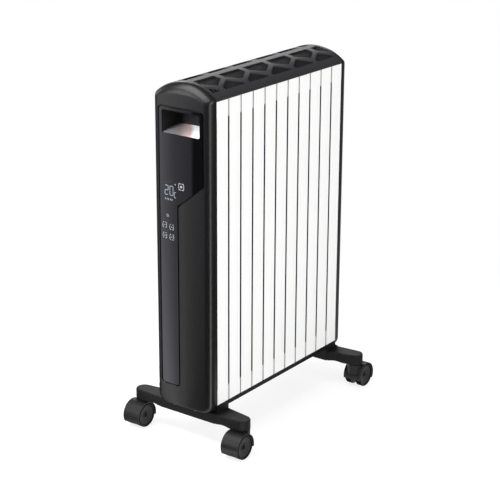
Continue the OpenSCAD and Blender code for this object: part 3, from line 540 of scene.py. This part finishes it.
def rounded(points, r, parts=6):
    """An outline with every corner rounded."""
    out = []
    for i, p in enumerate(points):
        p = Vector(p)
        u = (Vector(points[i - 1]) - p).normalized()
        v = (Vector(points[(i + 1) % len(points)]) - p).normalized()
        h = u.angle(v) / 2
        reach = r / sin(h) * cos(h)
        c = p + (u + v).normalized() * (r / sin(h))
        a, b = p + u * reach - c, p + v * reach - c
        for k in range(parts + 1):
            out.append(tuple(c + (a * (parts - k) + b * k).normalized() * r))
    return out


def grown(points, g):
    """An outline moved outwards."""
    out = []
    for i, p in enumerate(points):
        p = Vector(p)
        u = (p - Vector(points[i - 1])).normalized()
        v = (Vector(points[(i + 1) % len(points)]) - p).normalized()
        a, b = Vector((u.y, -u.x)), Vector((v.y, -v.x))
        out.append(tuple(p + g * (a + b) / (1 + a.dot(b))))
    return out


def box_points(x0, x1, z0, z1):
    return [(x0, z0), (x1, z0), (x1, z1), (x0, z1)]


fascia_points = [(-fascia_x, fascia_foot), (strip_x, fascia_foot), (strip_x, slant_foot),
                 (fascia_x, slant_top), (fascia_x, fascia_top), (-fascia_x, fascia_top)]
grip_points = rounded(box_points(-grip_x, grip_x, grip_foot, grip_top), 4)


def fascia_shape(g):
    return rounded(grown(fascia_points, g), fascia_r + g)


def dense(points, counts):
    """An outline with each edge split into this many parts."""
    out = []
    for i, n in enumerate(counts):
        a, b = Vector(points[i]), Vector(points[(i + 1) % len(points)])
        out += [tuple(a.lerp(b, k / n)) for k in range(n)]
    return out


def loft(rings):
    """A skin drawn out ring by ring from the first ring, and closed over the last."""
    bm = bmesh.new()
    ring = [bm.verts.new(p) for p in rings[0]]
    for i, v in enumerate(ring):
        bm.edges.new((ring[i - 1], v))
    for spots in rings[1:]:
        edges = [bm.edges.get((ring[i - 1], v)) for i, v in enumerate(ring)]
        fresh = {g for g in bmesh.ops.extrude_edge_only(bm, edges=edges)["geom"]
                 if isinstance(g, bmesh.types.BMVert)}
        ring = [next(e.other_vert(v) for e in v.link_edges if e.other_vert(v) in fresh) for v in ring]
        for v, p in zip(ring, spots):
            v.co = p
    bm.faces.new(ring)
    return bm


def end_shell(name, way):
    """The smooth shell of an end cover, drawn out from its seam to its crowned face.
    Each ring is its depth, and how far its sides and its foot are drawn in there."""
    flat = half_w - corner_r
    deep = end_depth - crown
    rings = [(d, draft * d, draft * d) for d in (0, 1.7, 3.4)]
    turns = 12
    for k in range(turns + 1):
        t = radians(90 * k / turns)
        d = deep - corner_r + corner_r * sin(t)
        rings.append((d, corner_r * (1 - cos(t)), draft * d + (k / turns) ** 3))
    # Up the crown, as parts of its height
    for b in (0.15, 0.3, 0.45, 0.6, 0.72, 0.82, 0.9, 0.95, 0.98):
        rings.append((deep + b * crown, half_w - flat * sqrt(1 - b), 1.6 + 1.6 * b ** 2))
    bm = loft([[Vector((x, way * (seam_y + d), z)) * MM
                for x, z in body_outline(side, end_depth - sqrt(max(0, end_depth ** 2 - d * d)), foot)]
               for d, side, foot in rings])
    bmesh.ops.recalc_face_normals(bm, faces=bm.faces)
    bm.faces.ensure_lookup_table()
    if bm.faces[-1].normal.y * way < 0:
        bmesh.ops.reverse_faces(bm, faces=bm.faces)
    mesh = bpy.data.meshes.new(name)
    bm.to_mesh(mesh)
    bm.free()
    obj = bpy.data.objects.new(name, mesh)
    bpy.context.collection.objects.link(obj)
    solid = obj.modifiers.new("wall", "SOLIDIFY")
    solid.thickness = wall * MM
    solid.offset = -1
    bpy.context.view_layer.update()
    obj.data = bpy.data.meshes.new_from_object(obj.evaluated_get(bpy.context.evaluated_depsgraph_get()))
    obj.modifiers.clear()
    return obj


def recess_cutter(lip):
    """The room round the fascia, which widens to a lip that follows the crown of the cover."""
    outline = fascia_shape(gap + lip)
    step, clear = 4, 0.02
    counts = [max(1, round((Vector(outline[(i + 1) % len(outline)]) - Vector(p)).length / step))
              for i, p in enumerate(outline)]
    rings = []
    for g, reach in ((gap + lip, lambda x: outside), (gap + lip, lambda x: face_y(x, -clear)),
                     (gap, lambda x: face_y(x, lip)), (gap, lambda x: inside)):
        rings.append([Vector((x, -reach(x), z)) * MM for x, z in dense(fascia_shape(g), counts)])
    bm = loft(rings)
    bmesh.ops.holes_fill(bm, edges=bm.edges)
    return from_bmesh(bm, "cut_fascia")


class RADIATOR_OT_front_cover(bpy.types.Operator):
    """Model the front cover, with its recess for the fascia and its switch pad"""
    bl_idname = "radiator.front_cover"
    bl_label = "Front cover"

    def execute(self, context):
        shell = end_shell("front_cover_shell", -1)
        cut(shell, recess_cutter(sizes().cover_lip / MM))
        pad = rounded(box_points(*pad_y, *pad_z), pad_r)
        cut(shell, prism(pad, -half_w - 6, pad_cut - half_w, "cut_pad", "X"))
        place(shell, "base", "satin_abs", 30)
        soften(shell, 0.4 * MM, 2, 40)
        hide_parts("front_cover")
        deep = seam_y + end_depth - crown - wall
        ledge = prism(fascia_shape(ledge_out), -deep, ledge_t - deep, "fascia_ledge")
        cut(ledge, prism(fascia_shape(-ledge_in), -deep - 1, 3 - deep, "cut_ledge"))
        soften(place(ledge, "base", "satin_abs", 30), 0.3 * MM, 1, 40)
        return {"FINISHED"}


class RADIATOR_OT_rear_cover(bpy.types.Operator):
    """Model the rear cover, with the mouth of its grip pocket"""
    bl_idname = "radiator.rear_cover"
    bl_label = "Rear cover"

    def execute(self, context):
        shell = end_shell("rear_cover_shell", 1)
        cut(shell, prism(grip_points, inside, outside, "cut_grip"))
        place(shell, "base", "satin_abs", 30)
        soften(shell, 0.4 * MM, 2, 40)
        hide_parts("rear_cover")
        return {"FINISHED"}


class RADIATOR_OT_fascia(bpy.types.Operator):
    """Model the polished fascia, crowned like the cover round it"""
    bl_idname = "radiator.fascia"
    bl_label = "Control fascia"

    def execute(self, context):
        bm = bmesh.new()
        edges = []
        for loop in (fascia_shape(0), grip_points):
            verts = [bm.verts.new((x * MM, 0, z * MM)) for x, z in loop]
            edges += [bm.edges.new((verts[i - 1], v)) for i, v in enumerate(verts)]
        bmesh.ops.triangle_fill(bm, edges=edges, use_beauty=True)
        bmesh.ops.dissolve_limit(bm, angle_limit=0.01, verts=bm.verts, edges=bm.edges)
        # Split every 4 mm across, so that it can follow the crown
        for x in range(4 - fascia_x, fascia_x, 4):
            bmesh.ops.bisect_plane(bm, geom=bm.verts[:] + bm.edges[:] + bm.faces[:],
                                   plane_co=(x * MM, 0, 0), plane_no=(1, 0, 0))
        for v in bm.verts:
            v.co.y = -face_y(v.co.x / MM, fascia_sunk) * MM
        drawn = bmesh.ops.extrude_face_region(bm, geom=bm.faces[:])["geom"]
        bmesh.ops.translate(bm, verts=[g for g in drawn if isinstance(g, bmesh.types.BMVert)],
                            vec=(0, fascia_t * MM, 0))
        panel = from_bmesh(bm, "fascia_panel")
        place(panel, "base", "polished_abs", 30)
        soften(panel, sizes().fascia_edge, 2, 50)
        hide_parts("control_fascia")
        return {"FINISHED"}


class RADIATOR_OT_bodywork(bpy.types.Operator):
    """Finish the slats, the grille, the louvre, the tray and the saddles"""
    bl_idname = "radiator.bodywork"
    bl_label = "Bodywork"

    def execute(self, context):
        s = sizes()
        for node in node_finish["powder_coat"]:
            dressed(node, "powder_coat", s.slat_edge, 2)
        dressed("top_grille", "grille_nylon", s.grille_edge, 2, 30)
        louvre = dressed("louvre_insert", "louvre_nylon", 0.2 * MM, 1)
        # The sides of the slots take a near-black copy of the nylon, painted shade, and the lands keep
        # the louvre colour
        louvre.data.materials.append(material("louvre_painted_shade"))
        for face in louvre.data.polygons:
            face.material_index = int(abs(face.normal.z) < 0.6)
        for node in ("bottom_tray", "front_saddle", "rear_saddle"):
            dressed(node, "foot_nylon", 0.5 * MM)
        # The plate on the grip floor, whose colour is painted shade and painted highlight
        front, back = crown - seam_y - end_depth, grip_depth - seam_y - end_depth
        low, high = grip_foot + plate_lift, grip_foot + plate_lift + plate_rise
        plate = prism([(front, low), (back, high), (back, high + plate_t), (front, low + plate_t)],
                      plate_inset - grip_x, grip_x - plate_inset, "grip_plate", "X")
        soften(place(plate, "base", "plate_painted_light"), 0.2 * MM, 1)
        for node in ("front_grip_pocket", "rear_grip_pocket"):
            dressed(node, "pocket_abs", 0.4 * MM)
        return {"FINISHED"}


class RADIATOR_OT_running_gear(bpy.types.Operator):
    """Finish the feet, the castor hoods and the twin wheels"""
    bl_idname = "radiator.running_gear"
    bl_label = "Feet and castors"

    def execute(self, context):
        s = sizes()
        for node in ("front_foot", "rear_foot"):
            dressed(node, "foot_nylon", s.foot_edge, 3, 30)
        for node in nodes:
            if node.startswith("hood_"):
                dressed(node, "castor_nylon", s.hood_edge, 3, 40)
            elif node.startswith("wheel_"):
                wheel = dressed(node, "tyre_nylon", 0.4 * MM, 2, 30)
                wheel.data.materials.append(material("tread_rubber_and_groove_shade"))
                low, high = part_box(node)
                y, z = (low.y + high.y) / 2, (low.z + high.z) / 2
                # The tread is rubber; the ring in the groove takes the same dark rubber as painted shade
                for face in wheel.data.polygons:
                    r = sqrt((face.center.y - y) ** 2 + (face.center.z - z) ** 2) / MM
                    face.material_index = int(r > tread_r or groove_r0 < r < groove_r1)
            elif node.startswith("axle_"):
                dressed(node, "black_steel", 0.3 * MM)
        return {"FINISHED"}


# Places of the marks on the fascia, as X and the height over the foot of the cover
icon_place = (1.5, 426.2)
key_places = ((-38, 349.2), (-21.5, 347.2), (-38, 329.2), (-21.5, 328.2))
warning_places = ((-33, 429.2), (-24, 432.2))
state_place = (-12, 428.2)
sensor_place = (-30.5, 367.7)
# Each digit's sign, place, width, height and stroke, and the row of bars below them
digits = (("2", -32.5, 415.2, 7.5, 17, 1.1), ("0", -21, 415.2, 7.5, 17, 1.1),
          ("C", -12.5, 408.7, 4, 10, 1.0))
row_x, row_z, row_step, row_count, row_bar = -35.5, 398.7, 3.9, 5, (1.3, 3.4)
# Bars that frame the icon and a key, as offset, width and height; they are mirrored to every side
icon_frame = ((5.6, 0, 1.1, 6.6), (3.1, 5.6, 4.2, 1.4), (5.3, 4.5, 1.2, 1.8))
key_frame = ((4.4, 0, 1.2, 6.4), (2.9, 4.6, 3.0, 1.2))
lamp_r, icon_r, key_r, sensor_r = 1.1, 2.2, 1.2, 3.4


def bar(bm, x, z, w, h):
    """One flat mark on the fascia, with its middle at x and z."""
    for v in bmesh.ops.create_cube(bm, size=1)["verts"]:
        u, d, t = v.co
        px = x + u * w
        v.co = (px * MM, -face_y(px, fascia_sunk) * MM - (0.5 + d) * sizes().mark_height,
                (cover_z + z + t * h) * MM)


def disc(bm, x, z, r):
    """A round mark on the fascia, with its middle at x and z."""
    upright = Matrix.Translation((x * MM, 0, (cover_z + z) * MM)) @ Matrix.Rotation(pi / 2, 4, "X")
    verts = bmesh.ops.create_cone(bm, cap_ends=True, segments=24, radius1=r * MM, radius2=r * MM,
                                  depth=sizes().mark_height, matrix=upright)["verts"]
    for v in verts:
        v.co.y -= face_y(v.co.x / MM, fascia_sunk) * MM + sizes().mark_height / 2


def framed(bm, x, z, r, bars):
    """A round mark inside a frame of bars."""
    disc(bm, x, z, r)
    for dx, dz, w, h in bars:
        for sx in (-1, 1):
            for sz in (-1, 1) if dz else (1,):
                bar(bm, x + sx * dx, z + sz * dz, w, h)


def digit(bm, char, x, z, w, h, t):
    """A seven-segment digit with its middle at x and z."""
    lit = {"2": "abged", "0": "abcdef", "C": "adef"}[char]
    for s in lit:
        if s in "adg":
            bar(bm, x, z + {"a": h, "g": 0, "d": -h}[s] * 0.5, w - t, t)
        else:
            bar(bm, x + (w / 2 if s in "bc" else -w / 2), z + (h / 4 if s in "bf" else -h / 4), t,
                h / 2 - t * 0.6)


class RADIATOR_OT_display(bpy.types.Operator):
    """Model the lit digits, the lamps and the printed key marks on the fascia"""
    bl_idname = "radiator.display"
    bl_label = "Display and keys"

    def execute(self, context):
        bm = bmesh.new()
        for sign, *spot in digits:
            digit(bm, sign, *spot)
        for i in range(row_count):
            bar(bm, row_x + i * row_step, row_z, *row_bar)
        place(from_bmesh(bm, "display_digits"), "base", "lit_digits")
        bm = bmesh.new()
        for spot in warning_places:
            disc(bm, *spot, lamp_r)
        place(from_bmesh(bm, "display_warning_lamps"), "base", "lit_red")
        bm = bmesh.new()
        disc(bm, *state_place, lamp_r)
        framed(bm, *icon_place, icon_r, icon_frame)
        place(from_bmesh(bm, "display_state_lamps"), "base", "lit_white")
        bm = bmesh.new()
        for spot in key_places:
            framed(bm, *spot, key_r, key_frame)
        place(from_bmesh(bm, "key_marks"), "base", "pad_print")
        bm = bmesh.new()
        disc(bm, *sensor_place, sensor_r)
        place(from_bmesh(bm, "sensor_window"), "base", "sensor_acrylic")
        return {"FINISHED"}


class RADIATOR_OT_inner_finish(bpy.types.Operator):
    """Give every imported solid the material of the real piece"""
    bl_idname = "radiator.inner_finish"
    bl_label = "Materials of the packed solids"

    def execute(self, context):
        finish_of = {n: finish for finish, names in node_finish.items() for n in names}
        for name, obj in nodes.items():
            if name.startswith("hood_"):
                finish = "castor_nylon"
            elif name.startswith("wheel_"):
                finish = "tyre_nylon"
            elif name.startswith("axle_"):
                finish = "black_steel"
            else:
                finish = finish_of[name]
            obj.data.materials.clear()
            obj.data.materials.append(material(finish))
        return {"FINISHED"}


# ---------------------------------------------------------------- stage


# What the polish mirrors of the floor: brightness by bearing in degrees round the control end
floor_cards = (
    (-165, 0.12), (-150, 0.06), (-128, 0.06), (-116, 0.02), (-60, 0.03), (-54, 0.42), (-50, 0.4),
    (-46, 0.29), (-43, 0.2), (-40, 0.16), (-36, 0.14), (-32.9, 0.115), (-32.7, 0.003), (40, 0.003),
    (58, 0.01), (64, 1.0), (69, 1.0), (76, 0.01), (147, 0.01), (160, 0.12))

# Name, place, aim, width, height and power of each lamp, in m and W
lamps = (
    ("side_softbox", (2.6, -0.5, 1.2), (0, 0, 0.35), 2.4, 2.0, 45),
    ("left_softbox", (-2.6, 0.1, 1.05), (0, -0.2, 0.48), 0.9, 0.8, 5),
    ("top_softbox", (-0.5, -1.0, 2.7), (0, 0, 0.5), 2.2, 2.0, 60),
    ("rear_softbox", (-1.5, 2.0, 1.45), (0, 0, 0.6), 1.4, 0.8, 12),
    ("grip_snoot", (-0.22, -0.62, 0.8), (0.02, -0.19, 0.6), 0.15, 0.15, 3.5),
    ("front_softbox", (-1.4, -2.2, 1.2), (0, 0, 0.35), 1.2, 1.6, 18))

camera_place, camera_turn, camera_tilt, camera_roll = (1.6436, -2.2608, 1.2844), 36.14, 19.05, 0.25
camera_lens = 111.7


def softbox(name, where, aim, width, height, power):
    """A rectangular lamp that faces its aim."""
    lamp = bpy.data.lights.new(name, "AREA")
    lamp.shape = "RECTANGLE"
    lamp.size, lamp.size_y = width, height
    lamp.energy = power
    obj = bpy.data.objects.new(name, lamp)
    obj.location = where
    obj.rotation_euler = (Vector(aim) - Vector(where)).to_track_quat("-Z", "Y").to_euler()
    bpy.context.collection.objects.link(obj)
    return obj


class RADIATOR_OT_stage(bpy.types.Operator):
    """Make the floor, the studio light and the camera"""
    bl_idname = "radiator.stage"
    bl_label = "Stage"

    def execute(self, context):
        scene = context.scene
        bm = bmesh.new()
        bmesh.ops.create_grid(bm, x_segments=2, y_segments=2, size=6)
        floor = from_bmesh(bm, "studio_floor")
        sheet, tree, where = start("white_paper")
        path = add(tree, "LightPath", {})
        # What the polish mirrors: the cards by their bearing, and plain paper under the heater
        split = add(tree, "SeparateXYZ", {"Vector": where})
        from_face = add(tree, "Math", {
            0: -(seam_y + end_depth) * MM, 1: split.outputs["Y"]}, operation="SUBTRACT")
        bearing = add(tree, "Math", {0: split.outputs["X"], 1: from_face.outputs[0]},
                      operation="ARCTAN2")
        part = add(tree, "MapRange", {"Value": bearing.outputs[0], "From Min": -pi, "From Max": pi})
        cards = add(tree, "ValToRGB", {"Fac": part.outputs[0]})
        set_stops(cards.color_ramp, [(angle / 360 + 0.5, [level] * 3) for angle, level in floor_cards])
        away = add(tree, "VectorMath", {0: where}, operation="LENGTH")
        near = add(tree, "MapRange", {
            "Value": away.outputs["Value"], "From Min": 0.5, "From Max": 1.6,
            "To Min": 5.0, "To Max": 4.0})
        far = add(tree, "Math", {0: cards.outputs[0], 1: near.outputs[0]}, operation="MULTIPLY")
        under = add(tree, "MapRange", {
            "Value": away.outputs["Value"], "From Min": 0.24, "From Max": 0.34,
            "To Min": 1.0, "To Max": 0.0})
        lit = add(tree, "Mix", {0: under.outputs[0], 2: far.outputs[0], 3: 0.8})
        mirrored = add(tree, "Emission", {"Color": (1, 1, 1, 1), "Strength": lit.outputs[0]})
        # What the camera sees: a faint shadow near the feet, which fades into plain white
        open_floor = add(tree, "MapRange", {
            "Value": away.outputs["Value"], "From Min": 0.45, "From Max": 1.1},
            interpolation_type="SMOOTHSTEP")
        faint = add(tree, "BsdfDiffuse", {"Color": (*linear("#909090"), 1)})
        glow = add(tree, "Emission", {"Color": (1, 1, 1, 1), "Strength": 0.8})
        shaded = add(tree, "AddShader", {0: faint.outputs[0], 1: glow.outputs[0]})
        plain = add(tree, "Emission", {"Color": (1, 1, 1, 1), "Strength": 1.0})
        seen = add(tree, "MixShader", {
            "Fac": open_floor.outputs[0], 1: shaded.outputs[0], 2: plain.outputs[0]})
        # Every other ray meets matt paper
        matt = add(tree, "BsdfDiffuse", {"Color": (*linear("#d8d8d8"), 1)})
        other = add(tree, "MixShader", {
            "Fac": path.outputs["Is Glossy Ray"], 1: matt.outputs[0], 2: mirrored.outputs[0]})
        mix = add(tree, "MixShader", {
            "Fac": path.outputs["Is Camera Ray"], 1: other.outputs[0], 2: seen.outputs[0]})
        add(tree, "OutputMaterial", {"Surface": mix.outputs[0]})
        floor.data.materials.append(sheet)

        # The air is white to the camera, dark to the polish and dim to the rest
        world = bpy.data.worlds.new("studio_air")
        scene.world = world
        world.use_nodes = True
        tree = world.node_tree
        tree.nodes.clear()
        path = add(tree, "LightPath", {})
        dim = add(tree, "Background", {"Color": (1, 1, 1, 1), "Strength": 0.4})
        dark = add(tree, "Background", {"Color": (1, 1, 1, 1), "Strength": 0.12})
        white = add(tree, "Background", {"Color": (1, 1, 1, 1), "Strength": 1.0})
        other = add(tree, "MixShader", {
            "Fac": path.outputs["Is Glossy Ray"], 1: dim.outputs[0], 2: dark.outputs[0]})
        mix = add(tree, "MixShader", {
            "Fac": path.outputs["Is Camera Ray"], 1: other.outputs[0], 2: white.outputs[0]})
        add(tree, "OutputWorld", {"Surface": mix.outputs[0]})

        # The snoot only lights the grip, and nothing mirrors it
        for lamp in lamps:
            obj = softbox(*lamp)
            obj.visible_glossy = lamp[0] != "grip_snoot"

        lens = bpy.data.cameras.new("studio_camera")
        lens.lens, lens.sensor_width, lens.sensor_fit = camera_lens, 36, "HORIZONTAL"
        lens.clip_start, lens.clip_end = 0.05, 50
        camera = bpy.data.objects.new("studio_camera", lens)
        turn, tilt, roll = radians(camera_turn), radians(camera_tilt), radians(camera_roll)
        ahead = Vector((-sin(turn) * cos(tilt), cos(turn) * cos(tilt), -sin(tilt)))
        across = Vector((cos(turn), sin(turn), 0))
        up = across.cross(ahead)
        right = across * cos(roll) + up * sin(roll)
        top = up * cos(roll) - across * sin(roll)
        camera.matrix_world = Matrix.Translation(camera_place) @ Matrix(
            (right, top, -ahead)).transposed().to_4x4()
        context.collection.objects.link(camera)
        scene.camera = camera
        scene.view_settings.view_transform = "Standard"
        return {"FINISHED"}


steps = [RADIATOR_OT_inner_finish, RADIATOR_OT_front_cover, RADIATOR_OT_rear_cover,
         RADIATOR_OT_fascia, RADIATOR_OT_bodywork, RADIATOR_OT_running_gear,
         RADIATOR_OT_display, RADIATOR_OT_stage]


class RADIATOR_PT_panel(bpy.types.Panel):
    """Lists the sizes, the colours and the steps"""
    bl_idname = "RADIATOR_PT_panel"
    bl_label = "Panel radiator"
    bl_space_type = "VIEW_3D"
    bl_region_type = "UI"
    bl_category = "Radiator"

    def draw(self, context):
        for group in (sizes(), colours()):
            for name in group.__annotations__:
                self.layout.prop(group, name)
        for step in steps:
            self.layout.operator(step.bl_idname)


classes = [RadiatorSizes, RadiatorColours, *steps, RADIATOR_PT_panel]


def register():
    for cls in classes:
        bpy.utils.register_class(cls)
    bpy.types.Scene.radiator_sizes = bpy.props.PointerProperty(type=RadiatorSizes)
    bpy.types.Scene.radiator_colours = bpy.props.PointerProperty(type=RadiatorColours)


def unregister():
    del bpy.types.Scene.radiator_sizes, bpy.types.Scene.radiator_colours
    for cls in reversed(classes):
        bpy.utils.unregister_class(cls)


def main():
    register()
    for step in steps:
        group, name = step.bl_idname.split(".")
        getattr(getattr(bpy.ops, group), name)()


if __name__ == "__main__":
    main()
